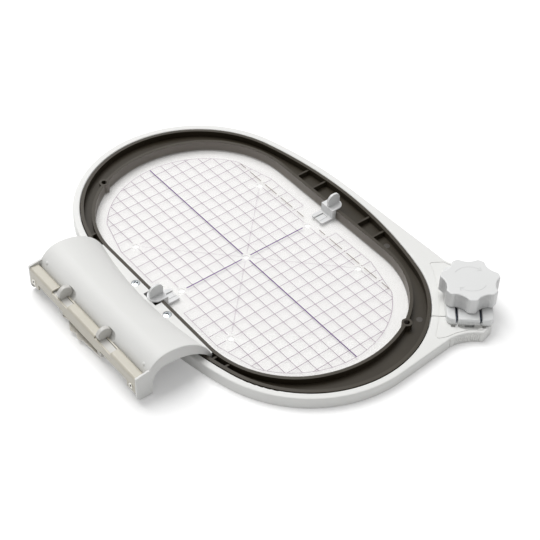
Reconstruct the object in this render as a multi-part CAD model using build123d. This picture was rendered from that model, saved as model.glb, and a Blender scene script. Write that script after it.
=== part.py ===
from build123d import *

import os
from math import acos, atan2, cos, degrees, radians, sin, sqrt

os.makedirs("parts", exist_ok=True)

# Large oval embroidery hoop for a sewing machine: a split outer ring closed by a twist lock, an inner
# ring with a moulded coupling arm, and a clear marking template held in the inner ring by two clips.
# Millimetres. The origin is the middle hole of the template, on its underside. X runs across the hoop,
# away from the arm, Y along it and Z up. The outer ring stands on a table just below the origin.

# Heights
template_thickness = 1.5
fabric_gap = 0.3
ring_height = 9.6

# Plan of the two rings: the outer ring's inner edge is an oval of two side arcs and two end arcs,
# which lies a margin outside the template's half width and half length
hoop_x = 3.4
side_margin = 19.5
end_margin = 20.1
hoop_end_radius_share = 0.91
rim_width = 5.5
rim_round = 1.1
ring_clearance = 0.5

# Plan of the template: straight sides, corner arcs and end arcs, in shares of its half width
template_x = 1.6
template_half_width = 81.6
template_half_length = 137.7
template_corner_share = 0.905
template_end_share = 1.127
template_gap = 0.3
mark_hole_radius = 2.5
mark_spacing = 60.0

# Inner ring: a channel open upwards, with ribs across it and two bosses that key the template
wall = 2.6
channel_floor_z = 3.8
floor_recess = 1.6
recess_margin = 1.2
rib_thickness = 1.6
rib_drop = 1.2
free_rib_start = 26.5
free_rib_spacing = 19.0
arm_rib_gap = 4.0
arm_rib_spacing = 11.0
boss_radius = 3.9
boss_bore_radius = 2.2
boss_from_face = 2.1
boss_angle = 61.5
boss_clearance = 0.4

# Lock wing: the corner of the outer ring that carries the twist lock. Its own axes run along the wing,
# outwards from the knob, and across it.
lock_side_inset = 7.4
lock_end_inset = 19.6
wing_angle = -40.5
wing_neck_along = -14.5
wing_neck_across = 40.8
wing_corner_along = 9.8
wing_corner_across = 33.8
wing_flank_hollow = 2.4
wing_nose_along = 15.9
wing_nose_across = 25.5
wing_tip_along = 18.0
wing_neck_round = 2.0
wing_corner_round = 1.6
wing_nose_round = 4.0
panel_inset = 2.3
panel_start = -21.0
panel_end_along = -26.3
panel_near_across = -42.6
panel_far_across = 37.0
panel_round = 2.5
groove_width = 0.6
groove_depth = 0.5
split_width = 0.8
split_across = -19.0
serration_count = 13
serration_pitch = 1.55
seam_width = 0.7
seam_depth = 0.6
well_half_width = 8.5
well_radius = 13.2
well_across = -18.5
well_depth = 1.6
key_slot_length = 3.0
key_slot_end = 29.2
key_slot_depth = 2.5

# Twist lock: a frame with two fixed bars, a tongue between them that draws the ring's ends together,
# and the knob that drives the tongue with a scroll groove and a pin
bar_half_length = 27.4
bar_outer = 17.0
bar_corner_round = 5.0
bar_height = 5.2
bar_top_round = 0.9
plinth_height = 0.9
plinth_inset = 1.2
slit_width = 1.85
tongue_width = 15.4
tongue_along = -1.0
tongue_lift = 0.1
tongue_travel = 2.0
tongue_rib_count = 9
tongue_rib_depth = 0.4
tongue_rib_height_share = 0.6
tongue_rib_width_share = 0.45
guide_thickness = 0.9
guide_height = 3.2
guide_inset = 1.5
lug_across = -23.5
lug_length = 3.0
lug_width = 6.0
lug_depth = 4.5
lug_clearance = 0.3
knob_radius = 22.0
knob_lobes = 7
knob_scallop_radius = 12.0
knob_valley_radius = 18.6
knob_tip_round = 2.0
knob_height = 13.0
knob_edge_round = 0.9
knob_gap = 1.1
collar_radius = 16.5
collar_gap = 0.05
knob_phase = 77.3
knob_open_angle = 180.0
spindle_radius = 3.0
spindle_clearance = 0.06
spindle_head_radius = 6.0
spindle_head_height = 1.8
spindle_head_gap = 0.2
spindle_depth_share = 0.6
washer_radius = 5.0
washer_thickness = 0.8
washer_gap = 0.05
drive_pin_radius = 1.6
drive_pin_across = 13.0
drive_pin_seat = 3.0
drive_pin_reach = 3.0
scroll_clearance = 0.3
lock_screw_radius = 1.5
lock_screw_head_radius = 2.9
lock_screw_head_height = 1.7
lock_screw_shares = (-0.4, 0.73)
lock_screw_bite_share = 0.7
screw_gap = 0.05

# Coupling arm: an arch over the outer ring, its front turned about the ring's side-arc centre. Its
# reaches are taken outwards from the outer ring's rim.
arm_half_length = 69.0
crease_from_wall = 8.1
arch_top_z = 33.0
arch_front_radius = 38.0
arch_back_radius = 18.0
arch_back_reach = 17.0
arch_depth = 10.5
tunnel_front_radius = 44.6
tunnel_back_radius = 12.0
arm_reach = 43.2
arm_edge_round = 0.8
leg_inner_reach = 30.3
leg_foot_z = 1.2
leg_foot_round = 4.5
leg_heel_round = 1.8
cap_back_z = 23.7
cap_front_z = 24.8
arm_skin = 2.8
arm_web = 3.0
arm_web_share = 0.32
pocket_margin = 4.0
flange_gap = 0.1
notch_half_width = 7.6
notch_depth = 5.5
screw_from_wall = 3.8
screw_spacing = 40.0
screw_radius = 1.5
screw_head_radius = 3.3
screw_head_height = 1.4
screw_head_round = 0.6
screw_head_proud = 0.4
screw_tip_z = 2.4
bump_angle = 145.0
bump_end_inset = 7.5
bump_radius = 1.9
bump_proud = 0.6

# Sheet-steel coupling channel on the arm's back, its rivets and the latch inside it. Insets are taken
# inwards from the arm's back.
sheet = 1.2
bracket_end_gap = 1.6
bracket_top_z = 22.5
bracket_bend = 2.0
bracket_edge_z = 12.9
bracket_foot_z = 7.8
bracket_foot_length = 10.4
bracket_middle_z = 10.5
bracket_middle_half = 24.0
window_start = 17.5
window_end = 37.5
window_drop = 1.9
rivet_end_inset = 4.9
rivet_z = 12.4
rivet_radius = 1.5
rivet_head_radius = 2.2
rivet_head_height = 0.6
rivet_bore_share = 0.55
latch_half_length = 44.0
latch_gap = 0.3
latch_base_z = 13.4
latch_top_z = 20.2
latch_travel = 3.5
latch_drop_length = 5.0
tab_radius = 5.5
tab_thickness = 3.5
tab_z = 23.8
tab_inset = 6.3
near_tab_y = -20.6
far_tab_y = 29.6
tab_edge_round = 0.5
tab_clearance = 0.4
plate_z = 3.5
plate_thickness = 1.0
plate_inner_inset = 6.8
plate_outer_inset = 1.4
plate_near_overhang = 0.7
plate_far_overhang = -1.6
plate_waist_inset = 3.5
plate_waist_share = 0.882
tooth_tip_reach = 1.8
tooth_root_inset = 0.1
tooth_tip_shares = (0.694, 0.483)
tooth_root_shares = (0.6, 0.414)

# Template clips: a forked tongue on the template, a block, a round-ended tab and an upright fin.
# Their lengths are taken outwards from the inner face of the inner ring's wall.
clip_half_width = 6.6
clip_tongue_reach = 14.5
clip_tongue_thickness = 1.5
clip_tongue_round = 1.5
clip_block_reach = 4.0
clip_block_gap = 0.4
clip_tab_gap = 0.1
clip_tab_thickness = 1.0
clip_tab_reach = 8.8
clip_fin_start = -3.6
clip_fin_end = 8.0
clip_fin_height = 9.9
clip_fin_thickness = 1.8
clip_fin_round_share = 0.45
clip_slot_half = 3.1
clip_slot_wall = 1.6
clip_snap_half = 2.2
clip_snap_thickness = 0.9
clip_snap_gap = 0.7
clip_hook_half = 3.0
clip_hook_thickness = 1.4
clip_hook_drop = 3.2
clip_hook_gap = 0.3
peg_radius = 1.1
peg_along_share = 0.62
peg_gap = 0.05

# One overrun for every cut, and the angle swept on each side by the turned arch
over = 5.0
arch_sweep = 16.0

# The outer ring's plan, worked out from its half width and half length
hoop_half_width = template_half_width + side_margin
hoop_half_length = template_half_length + end_margin
hoop_end_radius = hoop_end_radius_share * hoop_half_width
hoop_end_y = hoop_half_length - hoop_end_radius
hoop_side_radius = (hoop_half_width**2 + hoop_end_y**2 - hoop_end_radius**2) / (
    2 * (hoop_half_width - hoop_end_radius)
)
hoop_side_x = hoop_side_radius - hoop_half_width
hoop_turn = degrees(atan2(hoop_end_y, hoop_side_x))

# The template's plan, worked out the same way
corner_radius = template_corner_share * template_half_width
end_radius = template_end_share * template_half_width
corner_x = template_half_width - corner_radius
end_y = template_half_length - end_radius
corner_y = end_y + sqrt((end_radius - corner_radius) ** 2 - corner_x**2)
corner_turn = degrees(atan2(corner_y - end_y, corner_x))

# Heights and places that several pieces share
table_z = -fabric_gap
rim_z = table_z + ring_height
wall_inner_x = template_half_width + template_gap
arm_wall_x = template_x - wall_inner_x - wall
arch_axis_x = hoop_x + hoop_side_x
flange_x = arch_axis_x - (hoop_side_radius - ring_clearance - wall - flange_gap)
screw_x = arm_wall_x - screw_from_wall
bar_z = rim_z + plinth_height
bar_top_z = bar_z + bar_height
knob_z = bar_top_z + knob_gap
lock_x = hoop_x + hoop_half_width - lock_side_inset
lock_y = lock_end_inset - hoop_half_length
rim_x = hoop_half_width + rim_width - hoop_x
arch_back_x = rim_x + arch_back_reach
leg_x = arch_back_x + arch_back_radius
leg_inner_x = rim_x + leg_inner_reach
arm_back_x = rim_x + arm_reach
crease_x = crease_from_wall - arm_wall_x
tab_x = arm_back_x - tab_inset
bracket_half_length = arm_half_length - bracket_end_gap
rivet_along = bracket_half_length - rivet_end_inset
latch_x = (arm_back_x + leg_x) / 2
latch_half_width = (arm_back_x - leg_x) / 2 - sheet - latch_gap


def arc(x, y, radius, start, end):
    """Arc about (x, y) from one angle to another, in degrees."""
    angles = [radians(a) for a in (start, (start + end) / 2, end)]
    return ThreePointArc(*[(x + radius * cos(a), y + radius * sin(a)) for a in angles])


def hoop_outline(grow):
    """The outer ring's inner edge, moved outwards by grow: two side arcs tangent to two end arcs."""
    side, end, turn = hoop_side_radius + grow, hoop_end_radius + grow, hoop_turn
    edges = [
        arc(-hoop_side_x, 0, side, -turn, turn),
        arc(0, hoop_end_y, end, turn, 180 - turn),
        arc(hoop_side_x, 0, side, 180 - turn, 180 + turn),
        arc(0, -hoop_end_y, end, 180 + turn, 360 - turn),
    ]
    return Pos(hoop_x, 0) * make_face(edges)


def template_outline(grow):
    """The template's edge, moved outwards by grow: straight sides, corner arcs and end arcs."""
    side_x, turn = template_half_width + grow, corner_turn
    corner, end = corner_radius + grow, end_radius + grow
    edges = [
        Line((side_x, -corner_y), (side_x, corner_y)),
        arc(corner_x, corner_y, corner, 0, turn),
        arc(0, end_y, end, turn, 180 - turn),
        arc(-corner_x, corner_y, corner, 180 - turn, 180),
        Line((-side_x, corner_y), (-side_x, -corner_y)),
        arc(-corner_x, -corner_y, corner, 180, 180 + turn),
        arc(0, -end_y, end, 180 + turn, 360 - turn),
        arc(corner_x, -corner_y, corner, 360 - turn, 360),
    ]
    return Pos(template_x, 0) * make_face(edges)


def prism(face, low, high):
    """A plan face raised from one height to another."""
    return extrude(Pos(0, 0, low) * face, high - low)


def block(x0, x1, y0, y1, z0, z1):
    """A box between two corners."""
    middle = Pos((x0 + x1) / 2, (y0 + y1) / 2, (z0 + z1) / 2)
    return middle * Box(abs(x1 - x0), abs(y1 - y0), abs(z1 - z0))


def rod(x, y, radius, low, high):
    """An upright cylinder."""
    return Pos(x, y, (low + high) / 2) * Cylinder(radius, high - low)


def along_y(profile, half_length):
    """A face in the XZ plane, carried both ways along Y."""
    return extrude(Plane.XZ * profile, half_length, both=True)


def turned(profile):
    """A face in the XZ plane, turned about the upright axis of the arm side of the rings."""
    axis = Axis((arch_axis_x, 0, 0), (0, 0, 1))
    return revolve((Plane.XZ * profile).rotate(axis, -arch_sweep), axis, 2 * arch_sweep)


# The lock wing's own axes in the plan
lock_place = Pos(lock_x, lock_y) * Rot(0, 0, wing_angle)


def on_wing(along, across):
    """A point given along and across the lock wing, in the hoop's plan."""
    place = (lock_place * Pos(along, across)).position
    return place.X, place.Y


def wing_root(hand):
    """Where the wing's straight side leaves the ring, on its near (-1) or far (1) side."""
    neck = on_wing(wing_neck_along, hand * wing_neck_across)
    if hand < 0:
        centre, radius = (hoop_x, -hoop_end_y), hoop_end_radius + rim_width
    else:
        centre, radius = (hoop_x - hoop_side_x, 0), hoop_side_radius + rim_width
    dx, dy = neck[0] - centre[0], neck[1] - centre[1]
    angle = atan2(dy, dx) + hand * acos(radius / sqrt(dx * dx + dy * dy))
    return centre[0] + radius * cos(angle), centre[1] + radius * sin(angle)


def wing_flank(hand):
    """Hollow flank of the lock wing, from its neck to its corner."""
    neck = on_wing(wing_neck_along, hand * wing_neck_across)
    corner = on_wing(wing_corner_along, hand * wing_corner_across)
    return SagittaArc(neck, corner, -hand * wing_flank_hollow)


def wing_outline():
    """Plan of the lock wing: sides tangent to the ring, hollow flanks and a bowed nose."""
    noses = [on_wing(wing_nose_along, hand * wing_nose_across) for hand in (-1, 1)]
    edges = [ThreePointArc(noses[0], on_wing(wing_tip_along, 0), noses[1])]
    necks, corners = [], []
    for hand, nose in zip((-1, 1), noses):
        flank = wing_flank(hand)
        necks.append(flank @ 0)
        corners.append(flank @ 1)
        edges += [Line(wing_root(hand), flank @ 0), flank, Line(flank @ 1, nose)]
        edges.append(Line((hoop_x, 0), wing_root(hand)))
    face = make_face(edges)
    for places, radius in ((necks, wing_neck_round), (corners, wing_corner_round), (noses, wing_nose_round)):
        for place in places:
            face = fillet(face.vertices().sort_by_distance(place)[0], radius)
    return face


def on_flank(flank, share):
    """A place on a wing flank at half the ring's height, turned along the flank."""
    spot, run = flank @ share, flank % share
    return Pos(spot.X, spot.Y, (table_z + rim_z) / 2) * Rot(0, 0, degrees(atan2(run.Y, run.X)))


def serrations(hand):
    """Upright V grooves in a wing flank, counted back from its corner, and a seam at its neck."""
    flank = wing_flank(hand)
    height = ring_height - 2 * rim_round
    cutters = [on_flank(flank, 0) * Box(seam_width, 2 * seam_depth, height)]
    for count in range(serration_count):
        share = 1 - (count + 2) * serration_pitch / flank.length
        groove = Rot(0, 0, 45) * Box(serration_pitch / 2, serration_pitch / 2, height)
        cutters.append(on_flank(flank, share) * groove)
    return cutters


def panel_outline(wing):
    """The raised panel's edge: inside the wing's edge, with a bowed back between two round corners."""
    ends = [(panel_end_along, panel_near_across), (panel_end_along, panel_far_across)]
    back = ThreePointArc(ends[1], (panel_start, (panel_near_across + panel_far_across) / 2), ends[0])
    neck = wing_neck_across - panel_inset
    front = Polyline(
        ends[0], (wing_neck_along, -neck), (wing_neck_along, -2 * neck), (2 * wing_tip_along, -2 * neck),
        (2 * wing_tip_along, 2 * neck), (wing_neck_along, 2 * neck), (wing_neck_along, neck), ends[1],
    )
    panel = offset(wing, -panel_inset) & lock_place * make_face([back, *front.edges()])
    for end in ends:
        place = on_wing(*end)
        panel = fillet(panel.vertices().sort_by_distance((place[0], place[1]))[0], panel_round)
    return panel


def bar_edge(side):
    """Inner edge of a side bar, along the wing."""
    return tongue_along + side * (tongue_width / 2 + slit_width)


def lug_pocket(low, high, extra):
    """The room the tongue's lug sweeps, or with no extra and no travel the lug itself."""
    travel = tongue_travel if extra else 0
    length = lug_length + 2 * extra + travel
    place = lock_place * Pos(0, lug_across - travel / 2)
    return prism(place * Rectangle(lug_width + 2 * extra, length), low, high)


def lock_screw_spots():
    """Plan places of the screws that hold the lock frame from below."""
    spots = []
    for side in (-1, 1):
        middle = (bar_edge(side) + side * bar_outer) / 2
        spots += [on_wing(middle, share * bar_half_length) for share in lock_screw_shares]
    return spots


def lock_recesses():
    """Shallow well in the wing's top before the tongue's near end, and a slot beside each bar."""
    start = plinth_inset - bar_half_length
    room = Pos(0, start - well_radius) * Rectangle(2 * well_half_width, 2 * well_radius)
    well = room & Pos(0, well_across) * Circle(well_radius)
    cuts = [prism(lock_place * well, rim_z - well_depth, rim_z + over)]
    for side in (-1, 1):
        slot = Pos(bar_edge(side) + side * key_slot_length / 2, (start - key_slot_end) / 2)
        slot *= Rectangle(key_slot_length, start + key_slot_end)
        cuts.append(prism(lock_place * slot, rim_z - key_slot_depth, rim_z + over))
    return cuts


def make_outer_hoop():
    """Outer ring with its lock wing, panel groove, split, serrated flanks and spindle bore."""
    wing = wing_outline()
    ring = prism(hoop_outline(rim_width) + wing - hoop_outline(0), table_z, rim_z)
    ring = fillet(ring.faces().sort_by(Axis.Z)[-1].edges(), rim_round)
    panel = panel_outline(wing)
    ring -= prism(panel - offset(panel, -groove_width), rim_z - groove_depth, rim_z + over)
    ring -= serrations(-1) + serrations(1) + lock_recesses()
    ring -= rod(lock_x, lock_y, spindle_radius + spindle_clearance, table_z - over, rim_z + over)
    recess = spindle_head_gap + spindle_head_height + washer_thickness + 2 * washer_gap
    ring -= rod(lock_x, lock_y, spindle_head_radius + spindle_head_gap, table_z - over, table_z + recess)
    for x, y in lock_screw_spots():
        ring -= rod(x, y, lock_screw_radius + screw_gap, table_z - over, rim_z + over)
        seat = table_z + spindle_head_gap + lock_screw_head_height
        ring -= rod(x, y, lock_screw_head_radius + screw_gap, table_z - over, seat)
    ring -= lug_pocket(bar_z + tongue_lift - lug_depth - lug_clearance, rim_z + over, lug_clearance)
    cut = lock_place * Pos(0, split_across) * Rectangle(2 * hoop_end_radius, split_width)
    return ring - prism(cut, table_z - over, rim_z + over)


def make_lock_frame():
    """Low plinth and two side bars with rounded outer corners, bored for the spindle and screws."""
    pad = RectangleRounded(2 * bar_outer, 2 * bar_half_length, bar_corner_round)
    lane = Pos(tongue_along, 0) * Rectangle(tongue_width + 2 * slit_width, 3 * bar_half_length)
    bars = prism(lock_place * (pad - lane), bar_z, bar_top_z)
    bars = fillet(bars.faces().filter_by(Axis.Z).group_by(Axis.Z)[-1].edges(), bar_top_round)
    frame = bars + prism(lock_place * offset(pad, -plinth_inset), rim_z, bar_z)
    frame -= rod(lock_x, lock_y, spindle_radius + spindle_clearance, rim_z - over, bar_z + over)
    for x, y in lock_screw_spots():
        top = bar_z + lock_screw_bite_share * bar_height
        frame -= rod(x, y, lock_screw_radius + screw_gap, rim_z - over, top + screw_gap)
    return frame - lug_pocket(rim_z - over, bar_z + over, lug_clearance)


def make_lock_screws():
    """Four pan-headed screws up through the wing into the side bars."""
    screws = []
    for x, y in lock_screw_spots():
        head_z = table_z + spindle_head_gap
        shank = rod(x, y, lock_screw_radius, head_z, bar_z + lock_screw_bite_share * bar_height)
        screws.append(shank + rod(x, y, lock_screw_head_radius, head_z, head_z + lock_screw_head_height))
    return Compound(screws)


def make_lock_guides():
    """Two steel strips standing on the plinth in the slits beside the tongue."""
    strips = []
    length = 2 * (bar_half_length - plinth_inset - guide_inset)
    for side in (-1, 1):
        middle = bar_edge(side) - side * guide_thickness
        strip = Pos(middle, 0) * Rectangle(guide_thickness, length)
        strips.append(prism(lock_place * strip, bar_z, bar_z + guide_height))
    return Compound(strips)


def make_lock_tongue():
    """Sliding middle bar: ribbed ends, a slot for the spindle, a pin seat and a draw lug below."""
    low = bar_z + tongue_lift
    bar = Pos(tongue_along, 0) * Rectangle(tongue_width, 2 * bar_half_length)
    tongue = prism(lock_place * bar, low, bar_top_z)
    tongue = fillet(tongue.faces().sort_by(Axis.Z)[-1].edges(), bar_top_round)
    pitch = tongue_width / (tongue_rib_count + 1)
    for end in (-1, 1):
        for count in range(tongue_rib_count + 1):
            spot = tongue_along + (count - tongue_rib_count / 2) * pitch
            cut = Rectangle(pitch * tongue_rib_width_share, 2 * tongue_rib_depth)
            place = lock_place * Pos(spot, end * bar_half_length)
            tongue -= prism(place * cut, low - over, low + tongue_rib_height_share * bar_height)
    slot = Pos(0, tongue_travel / 2) * Rot(0, 0, 90)
    slot *= SlotCenterToCenter(tongue_travel, 2 * (spindle_radius + spindle_clearance))
    tongue -= prism(lock_place * slot, low - over, bar_top_z + over)
    pin_x, pin_y = on_wing(0, drive_pin_across)
    tongue -= rod(pin_x, pin_y, drive_pin_radius + screw_gap, bar_top_z - drive_pin_seat, bar_top_z + over)
    return tongue + lug_pocket(low - lug_depth, low, 0)


def make_drive_pin():
    """Steel pin that stands on the tongue and runs in the knob's scroll groove."""
    x, y = on_wing(0, drive_pin_across)
    return rod(x, y, drive_pin_radius, bar_top_z - drive_pin_seat, knob_z + drive_pin_reach)


def scroll_groove():
    """Groove whose radius shrinks evenly by the tongue's travel as the knob turns open."""
    half = drive_pin_radius + scroll_clearance
    angles = [knob_open_angle * count / 4 for count in range(5)]
    rails = []
    for side in (half, -half):
        points = []
        for angle in angles:
            reach = drive_pin_across - tongue_travel * angle / knob_open_angle + side
            turn = radians(90 - angle)
            points.append((reach * cos(turn), reach * sin(turn)))
        rails.append(Spline(points))
    outer, inner = rails
    band = make_face([outer, Line(outer @ 1, inner @ 1), inner, Line(inner @ 0, outer @ 0)])
    band += Pos(0, drive_pin_across) * Circle(half)
    band += Pos(0, tongue_travel - drive_pin_across) * Circle(half)
    return prism(lock_place * band, knob_z - over, knob_z + drive_pin_reach + scroll_clearance)


def make_knob():
    """Twist knob: rounded lobes between hollow scallops, a collar, a spindle socket and a scroll groove."""
    plan = Circle(knob_radius)
    step = 360 / knob_lobes
    for count in range(knob_lobes):
        scallop = Rot(0, 0, step * (count + 1 / 2)) * Pos(knob_valley_radius + knob_scallop_radius, 0)
        plan -= scallop * Circle(knob_scallop_radius)
    plan = fillet(plan.vertices(), knob_tip_round)
    top_z = knob_z + knob_height
    knob = prism(Pos(lock_x, lock_y) * Rot(0, 0, knob_phase) * plan, knob_z, top_z)
    knob = fillet(knob.faces().sort_by(Axis.Z)[-1].edges(), knob_edge_round)
    knob += rod(lock_x, lock_y, collar_radius, bar_top_z + collar_gap, knob_z)
    socket = knob_z + spindle_depth_share * knob_height
    knob -= rod(lock_x, lock_y, spindle_radius + screw_gap, knob_z - over, socket)
    return knob - scroll_groove()


def make_knob_spindle():
    """Headed steel pin through wing, frame and tongue into the knob."""
    low = table_z + spindle_head_gap
    head = rod(lock_x, lock_y, spindle_head_radius, low, low + spindle_head_height)
    return head + rod(lock_x, lock_y, spindle_radius, low, knob_z + spindle_depth_share * knob_height)


def make_knob_washer():
    """Flat washer between the spindle's head and the wing."""
    low = table_z + spindle_head_gap + spindle_head_height + washer_gap
    high = low + washer_thickness
    washer = rod(lock_x, lock_y, washer_radius, low, high)
    return washer - rod(lock_x, lock_y, spindle_radius + spindle_clearance, low - over, high + over)


def boss_spots():
    """Places of the two keying bosses, on opposite corners of the opening."""
    reach = corner_radius + template_gap + boss_from_face
    x, y = corner_x + reach * cos(radians(boss_angle)), corner_y + reach * sin(radians(boss_angle))
    return [(template_x + x, -y), (template_x - x, y)]


def make_inner_hoop():
    """Inner ring: two walls on a raised floor, ribs across the channel and two keying bosses."""
    outer = hoop_outline(-ring_clearance)
    inner = template_outline(template_gap)
    ring = prism(outer - inner, 0, rim_z)
    channel = offset(outer, -wall) - template_outline(template_gap + wall)
    cut = prism(channel, channel_floor_z, rim_z + over)
    free_ribs = (free_rib_start, free_rib_start + free_rib_spacing)
    arm_rib = arm_half_length + arm_rib_gap
    for side, places in ((1, free_ribs), (-1, (arm_rib, arm_rib + arm_rib_spacing))):
        for place in places:
            for end in (-1, 1):
                y0, y1 = end * place - rib_thickness / 2, end * place + rib_thickness / 2
                cut -= block(0, side * 2 * hoop_half_width, y0, y1, 0, rim_z - rib_drop)
    ring -= cut
    recess = offset(outer, -wall - recess_margin) - template_outline(template_gap + wall + recess_margin)
    ring -= prism(recess, -over, floor_recess)
    for x, y in boss_spots():
        ring += rod(x, y, boss_radius, 0, rim_z)
        ring -= rod(x, y, boss_bore_radius, channel_floor_z, rim_z + over)
    for end in (-1, 1):
        ring -= rod(screw_x, end * screw_spacing / 2, screw_radius + screw_gap, floor_recess, rim_z)
    return ring


def arch_front():
    """Section of everything below the arm's front: flat flange, then the rising arc, then the crest."""
    middle_z = arch_top_z - arch_front_radius
    run = sqrt(arch_front_radius**2 - (rim_z - middle_z) ** 2)
    middle_x = -crease_x - run
    return middle_x, middle_z, degrees(atan2(rim_z - middle_z, run))


def under_arc(x, z, radius, start, low):
    """Section below an arc that starts at an angle, reaches its crest and carries on level."""
    foot = arc(x, z, radius, start, 90)
    far_x = x - 2 * radius
    lines = Polyline(foot @ 1, (far_x, z + radius), (far_x, low), ((foot @ 0).X, low), foot @ 0)
    return make_face([foot, lines])


def make_arm():
    """Coupling arm: arch turned about the ring's centre, straight back leg, end caps and a flange."""
    front_x, front_z, start = arch_front()
    rise = under_arc(front_x, front_z, arch_front_radius, start, -over)
    front_run = Pos(-crease_x / 2, (rim_z - over) / 2)
    front = turned(rise + front_run * Rectangle(crease_x, rim_z + over))
    back_z = arch_top_z - arch_back_radius
    back = arc(-arch_back_x, back_z, arch_back_radius, 90, 180)
    flange_edge = arm_wall_x - flange_gap
    foot = [(-leg_x, leg_foot_z), (flange_edge, leg_foot_z)]
    lines = Polyline(back @ 1, *foot, (flange_edge, arch_top_z), back @ 0)
    body = along_y(make_face([back, lines]), arm_half_length)
    cap = Polygon(
        (-arm_back_x, cap_back_z), (-leg_x + sheet, cap_front_z), (-leg_inner_x, cap_front_z),
        (-leg_inner_x, leg_foot_z), (-arm_back_x, leg_foot_z), align=None,
    )
    cap = fillet(cap.vertices().group_by(Axis.Y)[0].sort_by(Axis.X)[0], leg_foot_round)
    between = along_y(Rectangle(4 * arm_back_x, 4 * arm_back_x), bracket_half_length + flange_gap)
    caps = along_y(cap, arm_half_length) - between
    arch = body & front
    rims = []
    for y in (-arm_half_length, arm_half_length):
        rims += arch.edges().filter_by_position(Axis.Y, y, y).filter_by(GeomType.LINE, reverse=True)
    arm = fillet(rims, arm_edge_round) + caps
    tunnel_z = arch_top_z - arch_depth - tunnel_front_radius
    land = rim_z + flange_gap - tunnel_z
    tunnel_run = sqrt(tunnel_front_radius**2 - land**2)
    tunnel_x = flange_x - tunnel_run
    tunnel = under_arc(tunnel_x, tunnel_z, tunnel_front_radius, degrees(atan2(land, tunnel_run)), -over)
    crest_z = arch_top_z - arch_depth
    bend = arc(-leg_inner_x + tunnel_back_radius, crest_z - tunnel_back_radius, tunnel_back_radius, 90, 180)
    lines = Polyline(bend @ 1, (-leg_inner_x, -over), (over, -over), (over, crest_z), bend @ 0)
    inside = along_y(make_face([bend, lines]), arm_half_length + over)
    arm -= turned(tunnel) & inside
    beyond = arm_half_length + over
    arm -= block(-leg_inner_x, over, -beyond, beyond, -over, channel_floor_z + flange_gap)
    arm -= arm_pockets(front_x, front_z)
    arm -= block(flange_edge - notch_depth, over, -notch_half_width, notch_half_width, -over, rim_z + over)
    for end in (-1, 1):
        y = end * screw_spacing / 2
        arm -= rod(screw_x, y, screw_radius + screw_gap, -over, rim_z)
        seat = rim_z + screw_head_proud - screw_head_height
        arm -= rod(screw_x, y, screw_head_radius + screw_gap, seat, rim_z + over)
        reach, turn = arch_back_radius - bump_radius + bump_proud, radians(bump_angle)
        spot = (reach * cos(turn) - arch_back_x, end * (arm_half_length - bump_end_inset))
        arm += Pos(*spot, back_z + reach * sin(turn)) * Sphere(bump_radius)
    scoop = sqrt(tab_radius**2 + (tab_thickness / 2) ** 2) + tab_clearance
    for y in (near_tab_y, far_tab_y):
        arm -= Pos(-tab_x, y, tab_z) * Sphere(scoop) + Pos(-tab_x, y - latch_travel, tab_z) * Sphere(scoop)
        arm -= Pos(-tab_x, y - latch_travel / 2, tab_z) * Rot(90, 0, 0) * Cylinder(scoop, latch_travel)
    for end in (-1, 1):
        y = end * rivet_along
        arm -= Pos(-leg_x, y, rivet_z) * Rot(0, 90, 0) * Cylinder(rivet_radius + screw_gap, 2 * rivet_bite())
    return arm


def arm_pockets(front_x, front_z):
    """Hollows under the arm's skin, between its end walls and webs."""
    pocket_x = flange_x - pocket_margin
    radius = arch_front_radius - arm_skin
    start = degrees(acos((pocket_x - front_x) / radius))
    hollow = turned(under_arc(front_x, front_z, radius, start, rim_z))
    back_z = arch_top_z - arch_back_radius
    bend = arc(-arch_back_x, back_z, arch_back_radius - arm_skin, 90, 180)
    lines = Polyline(bend @ 1, ((bend @ 1).X, -over), (over, -over), (over, (bend @ 0).Y), bend @ 0)
    leg = Pos(-leg_inner_x - arm_back_x, 0) * Rectangle(2 * arm_back_x, 4 * arm_back_x)
    limit = make_face([bend, lines]) - leg
    web_y = arm_web_share * arm_half_length
    ends = [-arm_half_length, -web_y, web_y, arm_half_length]
    pockets = []
    for first, last in zip(ends, ends[1:]):
        low = first + (arm_web if first == ends[0] else arm_web / 2)
        high = last - (arm_web if last == ends[-1] else arm_web / 2)
        room = block(over, -2 * arm_back_x, low, high, -over, arch_top_z)
        pockets.append(hollow & along_y(limit, arm_half_length) & room)
    return pockets


def rivet_bite():
    """How far the rivets reach into the arm's leg."""
    return (leg_x - leg_inner_x) * rivet_bore_share


def make_arm_screws():
    """Two pan-headed screws through the flange into the inner ring's floor."""
    screws = []
    for end in (-1, 1):
        y = end * screw_spacing / 2
        top_z = rim_z + screw_head_proud
        head = rod(screw_x, y, screw_head_radius, top_z - screw_head_height, top_z)
        head = fillet(head.faces().sort_by(Axis.Z)[-1].edges(), screw_head_round)
        screws.append(head + rod(screw_x, y, screw_radius, screw_tip_z, top_z - screw_head_height))
    return Compound(screws)


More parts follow.
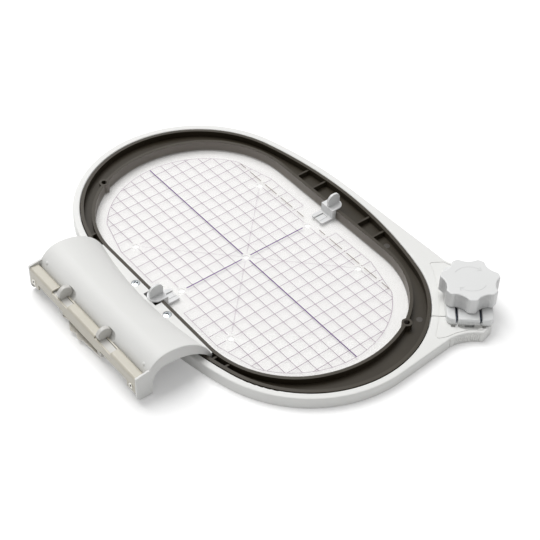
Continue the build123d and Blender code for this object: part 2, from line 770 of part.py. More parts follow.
def make_connector_bracket():
    """Sheet channel open downwards, with a stepped lower edge, two windows and rivet holes."""
    width, height = arm_back_x - leg_x, bracket_top_z - bracket_foot_z
    place = Pos(-latch_x, bracket_top_z - height / 2)
    shell = place * Rectangle(width, height)
    shell = fillet(shell.vertices().group_by(Axis.Y)[-1], bracket_bend)
    hollow = place * Pos(0, -sheet) * Rectangle(width - 2 * sheet, height)
    hollow = fillet(hollow.vertices().group_by(Axis.Y)[-1], bracket_bend - sheet)
    bracket = along_y(shell - hollow, bracket_half_length)
    low, back, front = bracket_foot_z - over, -arm_back_x - over, -leg_x + over
    foot_start = bracket_half_length - bracket_foot_length
    for y0, y1, edge in (
        (-foot_start, -bracket_middle_half, bracket_edge_z),
        (bracket_middle_half, foot_start, bracket_edge_z),
        (-bracket_middle_half, bracket_middle_half, bracket_middle_z),
    ):
        bracket -= block(back, front, y0, y1, low, edge)
    for end in (-1, 1):
        y0, y1 = sorted((end * window_start, end * window_end))
        bracket -= block(back, front, y0, y1, bracket_top_z - window_drop, bracket_top_z + over)
        hole = Pos(-latch_x, end * rivet_along, rivet_z) * Rot(0, 90, 0)
        bracket -= hole * Cylinder(rivet_radius + screw_gap, 2 * width)
    return bracket


def make_rivets():
    """Two tubular rivets across the bracket into the arm's leg."""
    rivets = []
    for end in (-1, 1):
        reach = arm_back_x - leg_x + rivet_bite()
        axis = Pos(-arm_back_x, end * rivet_along, rivet_z) * Rot(0, 90, 0)
        shank = axis * Pos(0, 0, reach / 2) * Cylinder(rivet_radius, reach)
        head = axis * Pos(0, 0, -rivet_head_height / 2) * Cylinder(rivet_head_radius, rivet_head_height)
        bore = axis * Cylinder(rivet_radius * rivet_bore_share, 2 * sheet)
        rivets.append(shank + head - bore)
    return Compound(rivets)


def make_latch_slide():
    """Bar inside the bracket with two feet that carry the toothed plate."""
    back, front = -latch_x - latch_half_width, -latch_x + latch_half_width
    slide = block(back, front, -latch_half_length, latch_half_length, latch_base_z, latch_top_z)
    for y in (near_tab_y, far_tab_y):
        drop, slot = latch_drop_length / 2, tab_thickness / 2
        slide += block(back, front, y - drop, y + drop, plate_z + plate_thickness, latch_base_z)
        slide -= block(back - over, front + over, y - slot, y + slot, tab_stem_z(), latch_top_z + over)
    return slide


def tab_stem_z():
    """Lower end of the finger tabs' stems, let into the slide."""
    return (latch_base_z + latch_top_z) / 2


def make_latch_plate():
    """Toothed sheet plate under the bracket."""
    near, far = near_tab_y - plate_near_overhang, far_tab_y + plate_far_overhang
    inner, outer = plate_inner_inset - arm_back_x, plate_outer_inset - arm_back_x
    edge = [(inner, near), (inner, far), (outer, far)]
    edge.append((plate_waist_inset - arm_back_x, near + plate_waist_share * (far - near)))
    for tip, root in zip(tooth_tip_shares, tooth_root_shares):
        edge.append((-arm_back_x - tooth_tip_reach, near + tip * (far - near)))
        edge.append((tooth_root_inset - arm_back_x, near + root * (far - near)))
    return prism(Polygon(*edge, (outer, near), align=None), plate_z, plate_z + plate_thickness)


def make_finger_tab(y):
    """Round finger tab with a stem down through the bracket's window into the slide."""
    turn = Pos(-tab_x, y, tab_z) * Rot(90, 0, 0)
    rims = Cylinder(tab_radius, tab_thickness).edges().filter_by(GeomType.CIRCLE)
    disc = turn * fillet(rims, tab_edge_round)
    low = bracket_top_z - window_drop + tab_clearance
    disc -= block(-2 * arm_back_x, 0, y - tab_thickness, y + tab_thickness, 0, low)
    back, front = -latch_x - latch_half_width, -latch_x + latch_half_width
    return disc + block(back, front, y - tab_thickness / 2, y + tab_thickness / 2, tab_stem_z(), tab_z)


def make_template_plate():
    """Clear marking template: seven marking holes, two keying notches and the clips' peg holes."""
    plate = prism(template_outline(0), 0, template_thickness)
    for x, y in boss_spots():
        plate -= rod(x, y, boss_radius + boss_clearance, -over, over)
    spots = [(0, 0)] + [(side * mark_spacing, end * mark_spacing) for side in (-1, 1) for end in (-1, 0, 1)]
    for x, y in spots:
        plate -= rod(x, y, mark_hole_radius, -over, over)
    for side in (-1, 1):
        for along, across in peg_spots():
            x = template_x + side * (wall_inner_x + along)
            plate -= rod(x, side * across, peg_radius + peg_gap, -over, over)
    return plate


def peg_spots():
    """The clip's two pegs, along and across it."""
    across = (clip_half_width + clip_slot_half) / 2
    return [(-clip_tongue_reach * peg_along_share, end * across) for end in (-1, 1)]


def make_template_clip(side):
    """Moulded clip: forked tongue with a snap, block, round-ended tab, upright fin and hook."""
    low = template_thickness
    tongue_z = low + clip_tongue_thickness
    tab_low = rim_z + clip_tab_gap
    tab_high = tab_low + clip_tab_thickness
    width = 2 * clip_half_width
    tongue = Pos(-clip_tongue_reach / 2 - clip_block_gap / 2, 0)
    tongue *= Rectangle(clip_tongue_reach - clip_block_gap, width)
    tongue = fillet(tongue.vertices().group_by(Axis.X)[0], clip_tongue_round)
    slot_end = -clip_block_reach - clip_slot_wall
    tongue -= Pos((slot_end - clip_tongue_reach) / 2 - over / 2, 0) * Rectangle(
        clip_tongue_reach + slot_end + over, 2 * clip_slot_half
    )
    clip = prism(tongue, low, tongue_z)
    snap_end = -clip_tongue_reach + clip_snap_gap
    clip += block(snap_end, slot_end, -clip_snap_half, clip_snap_half, low, low + clip_snap_thickness)
    clip += block(-clip_block_reach, -clip_block_gap, -clip_half_width, clip_half_width, low, tab_high)
    tab = Pos((wall - clip_block_reach) / 2, 0) * Rectangle(wall + clip_block_reach, width)
    tab += Pos(wall, 0) * Ellipse(clip_tab_reach - wall, clip_half_width)
    clip += prism(tab, tab_low, tab_high)
    fin = Rectangle(clip_fin_end - clip_fin_start, clip_fin_height + clip_tab_thickness)
    fin = fillet(fin.vertices().group_by(Axis.Y)[-1], clip_fin_round_share * (clip_fin_end - clip_fin_start))
    fin = Pos((clip_fin_start + clip_fin_end) / 2, (clip_fin_height + clip_tab_thickness) / 2 + tab_low) * fin
    clip += along_y(fin, clip_fin_thickness / 2)
    hook = wall + clip_hook_gap
    hook_end, hook_low = hook + clip_hook_thickness, tab_low - clip_hook_drop
    clip += block(hook, hook_end, -clip_hook_half, clip_hook_half, hook_low, tab_low)
    for along, across in peg_spots():
        clip += rod(along, across, peg_radius, peg_gap, low + peg_gap)
    return Pos(template_x + side * wall_inner_x, 0) * Rot(0, 0, 90 - side * 90) * clip


pieces = {
    "outer_hoop": make_outer_hoop(),
    "lock_frame": make_lock_frame(),
    "lock_screws": make_lock_screws(),
    "lock_guides": make_lock_guides(),
    "lock_tongue": make_lock_tongue(),
    "drive_pin": make_drive_pin(),
    "knob": make_knob(),
    "knob_spindle": make_knob_spindle(),
    "knob_washer": make_knob_washer(),
    "inner_hoop": make_inner_hoop(),
    "arm": make_arm(),
    "arm_screws": make_arm_screws(),
    "connector_bracket": make_connector_bracket(),
    "rivets": make_rivets(),
    "latch_slide": make_latch_slide(),
    "latch_plate": make_latch_plate(),
    "finger_tab_near": make_finger_tab(near_tab_y),
    "finger_tab_far": make_finger_tab(far_tab_y),
    "template_plate": make_template_plate(),
    "clip_arm_side": make_template_clip(-1),
    "clip_free_side": make_template_clip(1),
}
for name, piece in pieces.items():
    piece.label = name
    export_step(piece, f"parts/{name}.step")
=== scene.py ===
import math

import bpy
import numpy as np
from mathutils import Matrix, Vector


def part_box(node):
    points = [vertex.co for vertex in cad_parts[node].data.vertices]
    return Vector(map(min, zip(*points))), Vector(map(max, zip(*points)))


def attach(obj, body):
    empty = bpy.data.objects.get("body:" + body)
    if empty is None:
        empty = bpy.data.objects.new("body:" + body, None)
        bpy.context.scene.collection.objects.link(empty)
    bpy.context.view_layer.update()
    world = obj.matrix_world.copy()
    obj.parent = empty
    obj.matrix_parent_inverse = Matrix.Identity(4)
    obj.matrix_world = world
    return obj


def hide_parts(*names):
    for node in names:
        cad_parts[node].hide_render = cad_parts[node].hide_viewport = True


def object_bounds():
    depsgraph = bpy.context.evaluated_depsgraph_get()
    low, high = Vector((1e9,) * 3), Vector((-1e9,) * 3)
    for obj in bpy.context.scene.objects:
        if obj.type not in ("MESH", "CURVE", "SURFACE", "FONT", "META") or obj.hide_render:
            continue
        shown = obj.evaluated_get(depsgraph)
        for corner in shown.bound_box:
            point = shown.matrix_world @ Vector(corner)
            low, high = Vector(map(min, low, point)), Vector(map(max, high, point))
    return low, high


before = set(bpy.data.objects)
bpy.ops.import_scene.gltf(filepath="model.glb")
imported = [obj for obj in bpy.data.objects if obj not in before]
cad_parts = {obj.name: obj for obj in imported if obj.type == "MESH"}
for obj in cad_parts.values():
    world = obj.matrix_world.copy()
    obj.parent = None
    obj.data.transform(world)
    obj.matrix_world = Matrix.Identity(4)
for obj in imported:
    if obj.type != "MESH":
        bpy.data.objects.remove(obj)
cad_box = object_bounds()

# Camera: the long lens of a product photograph, from above and off the corner between the coupling
# arm and the end with the lock.
camera_data = bpy.data.cameras.new("camera")
camera_data.lens = 90.11
camera = bpy.data.objects.new("camera", camera_data)
camera.location = (-0.46172, -0.58379, 0.70385)
camera.rotation_euler = [math.radians(angle) for angle in (46.1244, -1.4778, -38.3386)]
bpy.context.collection.objects.link(camera)
bpy.context.scene.camera = camera
bpy.context.scene.view_settings.view_transform = "Standard"

# Light: one wide soft box, high up and beyond the far end of the hoop, which it faces. The pale
# surround in the table's section fills the shadows.
lamp_data = bpy.data.lights.new("key_light", "AREA")
lamp_data.size = 2.1
lamp_data.energy = 67
lamp = bpy.data.objects.new("key_light", lamp_data)
lamp.location = (0.0, 1.25, 2.6)
lamp.rotation_euler = lamp.location.to_track_quat("Z", "Y").to_euler()
bpy.context.collection.objects.link(lamp)


# Table: a plain white top that keeps the hoop's soft shadow. Seen straight on it glows a little, so that
# it reads as a white page, and the surround above it looks white too but gives less light than that.
class Wire:
    """An output socket of a node tree. Sums on it add Math nodes, and node() adds any other node."""

    def __init__(self, tree, socket=None):
        self.tree, self.socket = tree, socket

    def node(self, kind, settings=None, sockets=None, output=0):
        """A node of a kind, its settings first, then the values or links of its sockets."""
        made = self.tree.nodes.new(kind)
        for name, value in (settings or {}).items():
            setattr(made, name, value)
        for name, value in (sockets or {}).items():
            if isinstance(value, Wire):
                self.tree.links.new(value.socket, made.inputs[name])
            else:
                made.inputs[name].default_value = value
        return Wire(self.tree, made.outputs[output] if made.outputs else None)

    def math(self, operation, *others):
        """A Math node on this wire and up to two more values or wires."""
        return self.node("ShaderNodeMath", {"operation": operation}, dict(enumerate((self, *others))))

    def __add__(self, other):
        return self.math("ADD", other)

    def __sub__(self, other):
        return self.math("SUBTRACT", other)

    def __mul__(self, other):
        return self.math("MULTIPLY", other)

    def __rsub__(self, other):
        return self * -1 + other

    def __abs__(self):
        return self.math("ABSOLUTE")

    __radd__ = __add__
    __rmul__ = __mul__

    def most(self, other):
        return self.math("MAXIMUM", other)

    def least(self, other):
        return self.math("MINIMUM", other)

    def axis(self, letter):
        """The X, Y or Z of this wire's vector."""
        return self.node("ShaderNodeSeparateXYZ", None, {"Vector": self}, letter)

    def ramp(self, start, end):
        """0 before start, 1 past end, and even between; start may be the larger."""
        return self.node("ShaderNodeMapRange", None, {"Value": self, "From Min": start, "From Max": end})

    def blend(self, first, second):
        """A colour that goes from first to second as this wire goes from 0 to 1."""
        factor, from_colour, to_colour, blended = 0, 6, 7, 2
        colours = [value if isinstance(value, Wire) else (*value, 1) for value in (first, second)]
        sockets = {factor: self, from_colour: colours[0], to_colour: colours[1]}
        return self.node("ShaderNodeMix", {"data_type": "RGBA"}, sockets, blended)

    def noise(self, scale, detail=2, stretch=(1, 1, 1)):
        """Noise on this wire's places, with scale cells to the metre, closer along a stretched axis."""
        place = self.node("ShaderNodeMapping", None, {"Vector": self, "Scale": stretch})
        return self.node("ShaderNodeTexNoise", None, {"Vector": place, "Scale": scale, "Detail": detail})

    def bump(self, depth):
        """The surface's normal, tilted as if this wire raised the surface by depth metres where it is 1."""
        return self.node("ShaderNodeBump", None, {"Height": self, "Distance": depth})


def material(name):
    """A new material without nodes, the wire that starts them, and its places in metres."""
    made = bpy.data.materials.new(name)
    made.use_nodes = True
    made.node_tree.nodes.clear()
    start = Wire(made.node_tree)
    return made, start, start.node("ShaderNodeTexCoord", output="Object")


def surface(start, **sockets):
    """The Principled shader with these sockets, written with _ for a space, joined to the output."""
    named = {name.replace("_", " "): value for name, value in sockets.items()}
    shader = start.node("ShaderNodeBsdfPrincipled", None, named)
    start.node("ShaderNodeOutputMaterial", None, {"Surface": shader})


def direct(start):
    """1 where a surface is seen straight on, in a reflection or through clear plastic, and 0 in light."""
    seen, mirrored, through = [
        start.node("ShaderNodeLightPath", output=f"Is {ray} Ray")
        for ray in ("Camera", "Glossy", "Transmission")
    ]
    return seen.most(mirrored).most(through)


floor_reach = 3.0
floor_z = float(cad_box[0][2])
page_glow = 0.19
surround_light = 0.36
corners = [(x * floor_reach, y * floor_reach, floor_z) for x, y in ((-1, -1), (1, -1), (1, 1), (-1, 1))]
floor_mesh = bpy.data.meshes.new("floor")
floor_mesh.from_pydata(corners, [], [(0, 1, 2, 3)])
floor = bpy.data.objects.new("floor", floor_mesh)
bpy.context.collection.objects.link(floor)
table_white, start, place = material("table_white")
glow = direct(start).blend((0, 0, 0), (page_glow, page_glow, page_glow))
surface(start, Base_Color=(0.95, 0.95, 0.95, 1), Roughness=0.7, Emission_Color=glow, Emission_Strength=1.0)
floor.data.materials.append(table_white)

world = bpy.data.worlds.new("surround")
world.use_nodes = True
world.node_tree.nodes.clear()
start = Wire(world.node_tree)
strength = direct(start) * (1 - surround_light) + surround_light
sky = start.node("ShaderNodeBackground", None, {"Color": (1, 1, 1, 1), "Strength": strength})
start.node("ShaderNodeOutputWorld", None, {"Surface": sky})
bpy.context.scene.world = world

# Outer ring: one moulding in white plastic, split beside the lock, with a satin spark finish. The other
# white mouldings are made the same way, so their finish is this one with its own tint and gloss.
grain_height = 0.00002


def dress(finish, *nodes):
    """Gives a finish to the model's own pieces."""
    for node in nodes:
        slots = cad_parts[node].data.materials
        slots.clear()
        slots.append(finish)


def moulded(name, tint, gloss, relief=None):
    """Moulded plastic: tint and gloss drift slowly, under a fine mould grain and long faint scuffs. A
    relief adds its height, which counts in heights of the grain."""
    made, start, place = material(name)
    drift = place.noise(18, 3)
    grain = place.noise(2400, 1)
    scuff = place.noise(90, 4, (1, 9, 1)).ramp(0.62, 0.75)
    shade = tuple(0.965 * part for part in tint)
    height = grain if relief is None else grain + relief(place)
    surface(
        start, Base_Color=drift.ramp(0.3, 0.7).blend(shade, tint), IOR=1.49,
        Roughness=drift * 0.1 + scuff * 0.12 + gloss, Normal=height.bump(grain_height),
    )
    return made


dress(moulded("white_spark", (0.83, 0.83, 0.81), 0.42), "outer_hoop")

# Lock frame and tongue: the two fixed bars and the sliding bar between them, in the same white plastic
# from another mould, a little cooler and smoother.
dress(moulded("white_bars", (0.815, 0.825, 0.82), 0.36), "lock_frame", "lock_tongue")


# Lock hardware: steel guide strips with a dark oxide finish, a ground drive pin and spindle, and a
# spring-steel washer under the knob.
def metal(name, tint, gloss, grain_stretch=(1, 1, 1)):
    """Bare metal: drawn grain along one axis, and patches of duller oxide."""
    made, start, place = material(name)
    grain = place.noise(900, 3, grain_stretch)
    patch = place.noise(140, 4).ramp(0.45, 0.7)
    dull = tuple(0.72 * part for part in tint)
    surface(
        start, Base_Color=patch.blend(tint, dull), Metallic=1.0,
        Roughness=grain * 0.16 + patch * 0.14 + gloss, Normal=grain.bump(0.00001),
    )
    return made


dress(metal("oxide_steel", (0.1, 0.115, 0.15), 0.35, (1, 1, 12)), "lock_guides")
dress(metal("ground_steel", (0.62, 0.62, 0.63), 0.18, (1, 1, 10)), "drive_pin", "knob_spindle")
dress(metal("spring_steel", (0.33, 0.34, 0.37), 0.3), "knob_washer")

# Knob: glossier white plastic on the spindle's end, with two turning arrows sunk in its top and fine
# upright ribs in the hollows between its lobes. The marks' sizes are in millimetres and degrees.
mm = 1000
spindle_low, spindle_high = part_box("knob_spindle")
knob_x, knob_y = (spindle_low.x + spindle_high.x) / 2, (spindle_low.y + spindle_high.y) / 2
top_facing = 0.85
arrow_radius = 12.4
arrow_tip, band_start, band_end = 8, 13.5, 108.5
arrow_half_width = 0.16
arrow_head = 2.5
arrow_depth = 0.2
rib_count = 150
rib_reach = 20.5
rib_depth = 0.18


def distance(right, ahead):
    """Length of a step: the root of the sum of the squares of its two parts."""
    return (right * right + ahead * ahead).math("SQRT")


def polar(place, x, y):
    """Distance in millimetres and angle in radians about an upright axis through (x, y)."""
    right = place.axis("X") * mm - x * mm
    ahead = place.axis("Y") * mm - y * mm
    return distance(right, ahead), ahead.math("ARCTAN2", right)


def upward(start):
    """How far the surface faces up: 1 on a level top, 0 on an upright wall and -1 underneath."""
    return start.node("ShaderNodeNewGeometry", output="Normal").axis("Z")


def knob_relief(place):
    """Arrows, alike each half turn: an arc band, and a head whose two strokes leave the tip at 45
    degrees. Ribs: a sine of the angle."""
    radius, angle = polar(place, knob_x, knob_y)
    up = upward(place)
    half_turn = angle.math("FLOORED_MODULO", math.pi) * (180 / math.pi)
    run = (half_turn - arrow_tip) * (arrow_radius * math.pi / 180)
    off = abs(radius - arrow_radius)
    band = half_turn.ramp(band_start - 0.5, band_start + 0.5)
    band *= half_turn.ramp(band_end + 0.5, band_end - 0.5)
    band *= off.ramp(2 * arrow_half_width, arrow_half_width)
    head = abs(off - run).ramp(2 * arrow_half_width, arrow_half_width)
    head *= run.ramp(arrow_head, arrow_head - 0.2)
    arrows = band.most(head) * up.ramp(top_facing - 0.05, top_facing + 0.05)
    ribs = (angle * rib_count).math("SINE") * radius.ramp(rib_reach + 0.5, rib_reach - 0.5)
    ribs *= abs(up).ramp(0.4, 0.2)
    return (ribs * rib_depth - arrows * arrow_depth) * (1 / (grain_height * mm))


dress(moulded("white_gloss", (0.8, 0.805, 0.8), 0.32, knob_relief), "knob")

# Inner ring: a dark grey channel moulding with a coarser spark finish, rubbed paler on its top edges, with
# the round marks of two ejector pins. Its upright inner wall, which holds the fabric and the template, is
# painted paler as a painted reflection of the bright floor in that glossy face. The pins' places are in
# metres and its other sizes in millimetres.
ejector_pins = ((0.0588, -0.129), (0.0923, -0.0564))
pin_radius = 2.5
wall_middle = 1.6
corner_across, corner_along = 7.75, 62.1
wall_radius = 76.5
rub_start, rub_full = 8.6, 9.3
made, start, place = material("grey_spark")
x, y, z = [place.axis(letter) * mm for letter in "XYZ"]
from_pins = [polar(place, *pin)[0] for pin in ejector_pins]
pin_marks = from_pins[0].least(from_pins[1]).ramp(pin_radius + 0.1, pin_radius - 0.1)
past_corner = distance((abs(x - wall_middle) - corner_across).most(0), (abs(y) - corner_along).most(0))
upright = abs(upward(place)).ramp(0.6, 0.3)
# Painted reflection: this masks the upright faces of the inner wall, where a paler colour stands in for the
# floor mirrored in them.
wall_painted_reflection = past_corner.ramp(wall_radius + 0.1, wall_radius - 0.1) * upright
rubbed = z.ramp(rub_start, rub_full) * (place.noise(70, 4) * 0.8 + 0.3)
drift = place.noise(25, 3)
grain = place.noise(1800, 2)
dark = drift.ramp(0.3, 0.7).blend((0.024, 0.018, 0.0095), (0.033, 0.026, 0.016))
dark = pin_marks.blend(dark, (0.075, 0.068, 0.06))
# The painted reflection: the upright inner wall takes this paler colour.
dark = wall_painted_reflection.blend(dark, (0.2, 0.18, 0.16))
surface(
    start, Base_Color=rubbed.blend(dark, (0.052, 0.044, 0.032)), IOR=1.36,
    Roughness=drift * 0.12 + 0.38 - rubbed * 0.08, Normal=(grain + pin_marks * 3).bump(0.00004),
)
dress(made, "inner_hoop")

# Coupling arm: a white arch, hollow below, that reaches over the outer ring and is screwed down in the
# inner ring's channel. Its finish is the dullest of the white mouldings.
dress(moulded("white_arch", (0.79, 0.79, 0.772), 0.5), "arm")

# Screws: zinc-plated pan heads with a cross recess, two through the arm's flange and four that hold the
# lock's bars from under the wing. Each is turned as it happened to stop. Their sloped faces are painted
# dark as painted shade. Sizes are in metres.
turn_steps = 72
dome_rings, rim_rings = 22, 5
dome_share, dome_drop = 0.9, 0.45
arm_screw = {"head_radius": 0.0033, "head_height": 0.0014, "shank_radius": 0.0015, "length": 0.0073}
lock_screw = {"head_radius": 0.0029, "head_height": 0.0017, "shank_radius": 0.0015, "length": 0.01394}
flange_x, flange_y = -0.0867, 0.02
wing_angle = math.radians(-40.5)
bar_middles = (-0.013775, 0.012775)
screw_rows = (-0.01096, 0.020002)


def turned(radii, heights, recess):
    """A closed turned body, as points and faces: each ring is (r cos t, r sin t, h), less the recess at
    that place. The first and last radius are zero, so the ends close in fans."""
    angles = np.arange(turn_steps) * (2 * np.pi / turn_steps)
    x = radii[1:-1, None] * np.cos(angles)
    y = radii[1:-1, None] * np.sin(angles)
    z = np.repeat(heights[1:-1, None], turn_steps, 1)
    points = np.stack([x, y, z], 2).reshape(-1, 3)
    points = np.vstack([[0, 0, heights[0]], points, [0, 0, heights[-1]]])
    points[:, 2] -= recess(points[:, 0], points[:, 1], points[:, 2])
    here = np.arange(turn_steps)
    after = (here + 1) % turn_steps
    rows = 1 + np.arange(len(radii) - 3)[:, None] * turn_steps
    below = rows + turn_steps
    last = 1 + (len(radii) - 3) * turn_steps
    quads = np.stack([rows + here, below + here, below + after, rows + after], 2).reshape(-1, 4)
    first_fan = np.stack([0 * here, 1 + here, 1 + after], 1)
    last_fan = np.stack([0 * here + len(points) - 1, last + after, last + here], 1)
    return points, quads.tolist() + first_fan.tolist() + last_fan.tolist()


def pan_screw(head_radius, head_height, shank_radius, length):
    """A screw that points down from its head's top at zero. The dome falls with the square of the
    radius, a quarter circle rounds its rim, and the tip is a short cone. The cross is sunk where the
    smaller of |x| and |y| is within an arm's half width, and fades towards the arms' ends."""
    spread = np.linspace(0, dome_share, dome_rings)
    dome = -dome_drop * head_height * spread**2
    edge = np.linspace(0, np.pi / 2, rim_rings)[1:]
    rim_round = (1 - dome_share) * head_radius
    rim_r = dome_share * head_radius + rim_round * np.sin(edge)
    rim_z = dome[-1] - rim_round * (1 - np.cos(edge))
    shank_r = (head_radius, shank_radius, shank_radius, 0.7 * shank_radius, 0)
    shank_z = (-head_height, -head_height, shank_radius - length, -length, -length)
    cross_length, cross_half_width = 0.58 * head_radius, 0.13 * head_radius
    cross_depth = 0.55 * head_height

    def cross(x, y, z):
        """How deep the cross is at a place on the head's top: its depth, times a fade beside an arm,
        times a fade at the arm's end."""
        beside = np.minimum(np.abs(x), np.abs(y)) / cross_half_width
        out = np.maximum(np.abs(x), np.abs(y)) / cross_length
        inside = np.clip((1.5 - beside) / 0.5, 0, 1) * np.clip((1 - out) / 0.35, 0, 1)
        return cross_depth * inside * (z > -0.5 * head_height)

    radii = np.concatenate([spread * head_radius, rim_r, shank_r])
    heights = np.concatenate([dome, rim_z, shank_z])
    return turned(radii, heights, cross)


def driven(name, screw, head_down, spot, turn):
    """A screw's mesh at its spot: its places turned in plan by the angle turn, and by half a turn about
    X where its head is below."""
    points, faces = pan_screw(**screw)
    cosine, sine = math.cos(turn), math.sin(turn)
    points = points @ np.array([[cosine, sine, 0], [-sine, cosine, 0], [0, 0, 1]])
    if head_down:
        points = points * (1, -1, -1)
    mesh = bpy.data.meshes.new(name)
    mesh.from_pydata((points + spot).tolist(), [], faces)
    return mesh


def on_wing(along, across):
    """Plan place of a point on the lock wing, turned with the wing about the knob's axis."""
    cosine, sine = math.cos(wing_angle), math.sin(wing_angle)
    return knob_x + along * cosine - across * sine, knob_y + along * sine + across * cosine


zinc, start, place = material("bright_zinc")
grain = place.noise(1500, 3)
patch = place.noise(300, 3).ramp(0.4, 0.7)
# Painted shade: faces that tilt away from level, in the cross recess, round the rim and down the shank, are
# painted dark.
slope_painted_shade = abs(upward(start)).ramp(0.985, 0.8)
plating = patch.blend((0.62, 0.65, 0.67), (0.5, 0.53, 0.55))
surface(
    start, Base_Color=slope_painted_shade.blend(plating, (0.13, 0.145, 0.155)), Metallic=1.0,
    Roughness=grain * 0.1 + 0.14, Normal=grain.bump(0.000008),
)
arm_spots = [(flange_x, side * flange_y) for side in (-1, 1)]
lock_spots = [on_wing(along, across) for along in bar_middles for across in screw_rows]
for node, body, kind, head_down, spots, turns in (
    ("arm_screws", "inner_ring", arm_screw, False, arm_spots, (0.35, 1.2)),
    ("lock_screws", "outer_ring", lock_screw, True, lock_spots, (0.1, 0.9, 1.4, 0.6)),
):
    low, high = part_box(node)
    level = low.z if head_down else high.z
    for count, (spot, turn) in enumerate(zip(spots, turns)):
        mesh = driven(node + "_turned", kind, head_down, (*spot, level), turn)
        screw = bpy.data.objects.new(f"{node}_{count + 1}", mesh)
        bpy.context.collection.objects.link(screw)
        mesh.materials.append(zinc)
        mesh.polygons.foreach_set("use_smooth", [True] * len(mesh.polygons))
        mesh.set_sharp_from_angle(angle=math.radians(35))
        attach(screw, body)
        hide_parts(node)

# Coupling bracket and latch plate: folded and punched steel sheet under a warm white powder coat, with
# a fine orange-peel skin and small dark specks on the bracket. The plate's coat is paler, partly its own
# pale colour and partly painted light that lifts it out of the shade where it sits back under the bracket.
made, start, place = material("powder_coat")
peel = place.noise(700, 2)
drift = place.noise(30, 3)
speck = place.noise(1300, 1).ramp(0.72, 0.76)
coat = drift.ramp(0.3, 0.7).blend((0.505, 0.475, 0.395), (0.545, 0.515, 0.435))
surface(
    start, Base_Color=(speck * 0.5).blend(coat, (0.42, 0.39, 0.33)), Coat_Weight=0.25, Coat_Roughness=0.2,
    Roughness=peel * 0.12 + 0.33, Normal=peel.bump(0.00003),
)
dress(made, "connector_bracket")
# Painted light: the latch plate's colour is partly raised to stand in for light that its recess keeps from
# it.
dress(moulded("pale_coat_painted_light", (0.8, 0.765, 0.69), 0.4), "latch_plate")

# Rivets: two tubular rivets in bright steel that hold the bracket, each with the shade in its bore painted
# dark down its middle. Their middles and bore are in millimetres.
rivet_y, rivet_z = 62.5, 12.4
rivet_bore = 1.0
made, start, place = material("rivet_steel")
y, z = [place.axis(letter) * mm for letter in "YZ"]
# Painted shade: a near-black disc where the rivet's bore is, standing in for the shade in the hole.
bore_painted_shade = distance(abs(y) - rivet_y, z - rivet_z).ramp(rivet_bore + 0.1, rivet_bore - 0.1)
grain = place.noise(1100, 3)
surface(
    start, Base_Color=bore_painted_shade.blend((0.74, 0.73, 0.69), (0.03, 0.028, 0.025)), Metallic=1.0,
    Roughness=grain * 0.2 + 0.25, Normal=grain.bump(0.00001),
)
dress(made, "rivets")

# Latch: a grey-white acetal bar that slides in the bracket, with two finger tabs pressed into it, which
# are smooth from handling.
dress(moulded("latch_acetal", (0.62, 0.61, 0.58), 0.3), "latch_slide", "finger_tab_near", "finger_tab_far")

# Marking template: a clear sheet, printed on its upper face with a thin violet grid of centimetre
# squares, thicker middle lines, diagonals to the outer holes, an outline stepped in at the clips, and a
# brown dash-dot line along one side. All its sizes are in millimetres from the middle hole.
half_square = 5
last_column = 65
side_line, slant_start, slant_angle = 72.3, 61, math.radians(15)
end_centre, end_radius = 51, 76.7
clip_step_across, clip_step_along = 60, 20
cross_line_end = 55
hole_pitch = 60
hole_margin = 4
stitch_line, stitch_pitch, stitch_phase = 64.1, 20.05, 21
dash_start, dash_end, dot_place = 2.4, 17.1, 19.8
stitch_from, stitch_to = 9.5, 91
print_level = 1.25
thin_ink, thick_ink, brown_ink = (0.15, 0.03, 0.14), (0.085, 0.004, 0.16), (0.13, 0.065, 0.02)


def stroke(away, half_width, soft=0.07):
    """A printed line, where away is the distance from its middle: 1 inside, fading over soft each way."""
    return away.ramp(half_width + soft, half_width - soft)


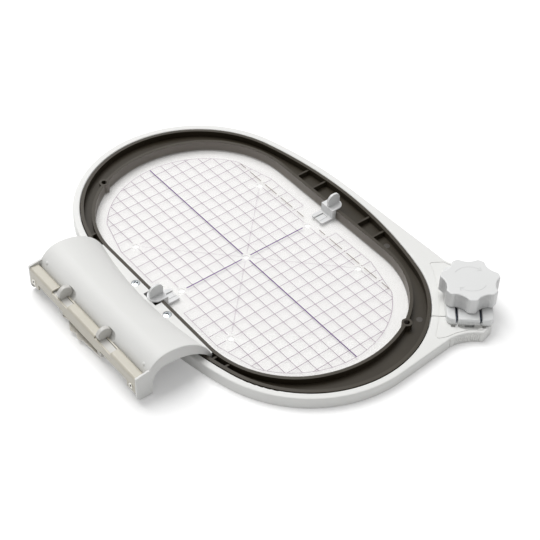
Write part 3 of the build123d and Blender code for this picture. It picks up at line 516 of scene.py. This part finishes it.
made, start, place = material("clear_print")
x, y, z = [place.axis(letter) * mm for letter in "XYZ"]
across, along = abs(x), abs(y)
end_arc = distance(x, (along - end_centre).most(0)) - end_radius
slant = (across - side_line) * math.cos(slant_angle) + (along - slant_start) * math.sin(slant_angle)
clip_step = (across - clip_step_across).least(clip_step_along - along)
outline = (across - side_line).most(slant).most(end_arc).most(clip_step)
inside = stroke(outline, 0, 0.2)
columns = x.math("PINGPONG", half_square).most(across - last_column)
grid = columns.least(y.math("PINGPONG", half_square))
long_middle = across.most(along - end_centre - end_radius)
middle = long_middle.least(along.most(across - cross_line_end))
diagonal = (abs(across - along) * math.sqrt(0.5)).most(across - hole_pitch)
to_row = along.least(abs(along - hole_pitch))
hole = distance(x, y).least(distance(across - hole_pitch, to_row))
clear_of_holes = hole.ramp(hole_margin - 0.4, hole_margin + 0.4)
stitch_place = (y - stitch_phase).math("FLOORED_MODULO", stitch_pitch)
dash = stitch_place.ramp(dash_start - 0.1, dash_start + 0.1)
dash *= stitch_place.ramp(dash_end + 0.1, dash_end - 0.1)
dot = abs(stitch_place - dot_place).ramp(0.5, 0.3)
run = along.ramp(stitch_from - 0.5, stitch_from + 0.5) * along.ramp(stitch_to + 1, stitch_to - 1)
stitch = stroke(abs(x - stitch_line), 0.325, 0.075) * dash.most(dot) * run
top = z.ramp(print_level - 0.05, print_level + 0.05)
thin = stroke(grid, 0.225, 0.055) * inside * 0.72
edge = stroke(abs(outline), 0.27) * 0.5
thick = stroke(middle, 0.41) * inside * 0.97
faint = stroke(diagonal, 0.27) * inside * 0.3
violet = thin.most(edge).most(thick).most(faint) * clear_of_holes * top
brown = stitch * top * 0.85
cover = violet.most(brown)
scratch = place.noise(160, 5, (1, 14, 1)).ramp(0.66, 0.72)
rim = abs(upward(start)).ramp(0.6, 0.3)
gloss = start.node("ShaderNodeFresnel", None, {"IOR": 1.45})
body = (rim * 0.12 + 0.22 + gloss * 0.1 + scratch * 0.006).least(1)
ink = brown.ramp(0.05, 0.2).blend(thick.ramp(0, 0.3).blend(thin_ink, thick_ink), brown_ink)
surface(
    start, Base_Color=cover.ramp(0, 0.15).blend((0.9, 0.89, 0.87), ink), Alpha=body.most(cover),
    Roughness=scratch * 0.2 + 0.08, IOR=1.49, Normal=place.noise(40, 2).bump(0.000004),
)
dress(made, "template_plate")

# Template clips: bluish white plastic tongues, each with an upright fin to lift the template by. They
# are pressed through the sheet at the middle of its two sides.
dress(moulded("clip_plastic", (0.74, 0.745, 0.745), 0.3), "clip_arm_side", "clip_free_side")
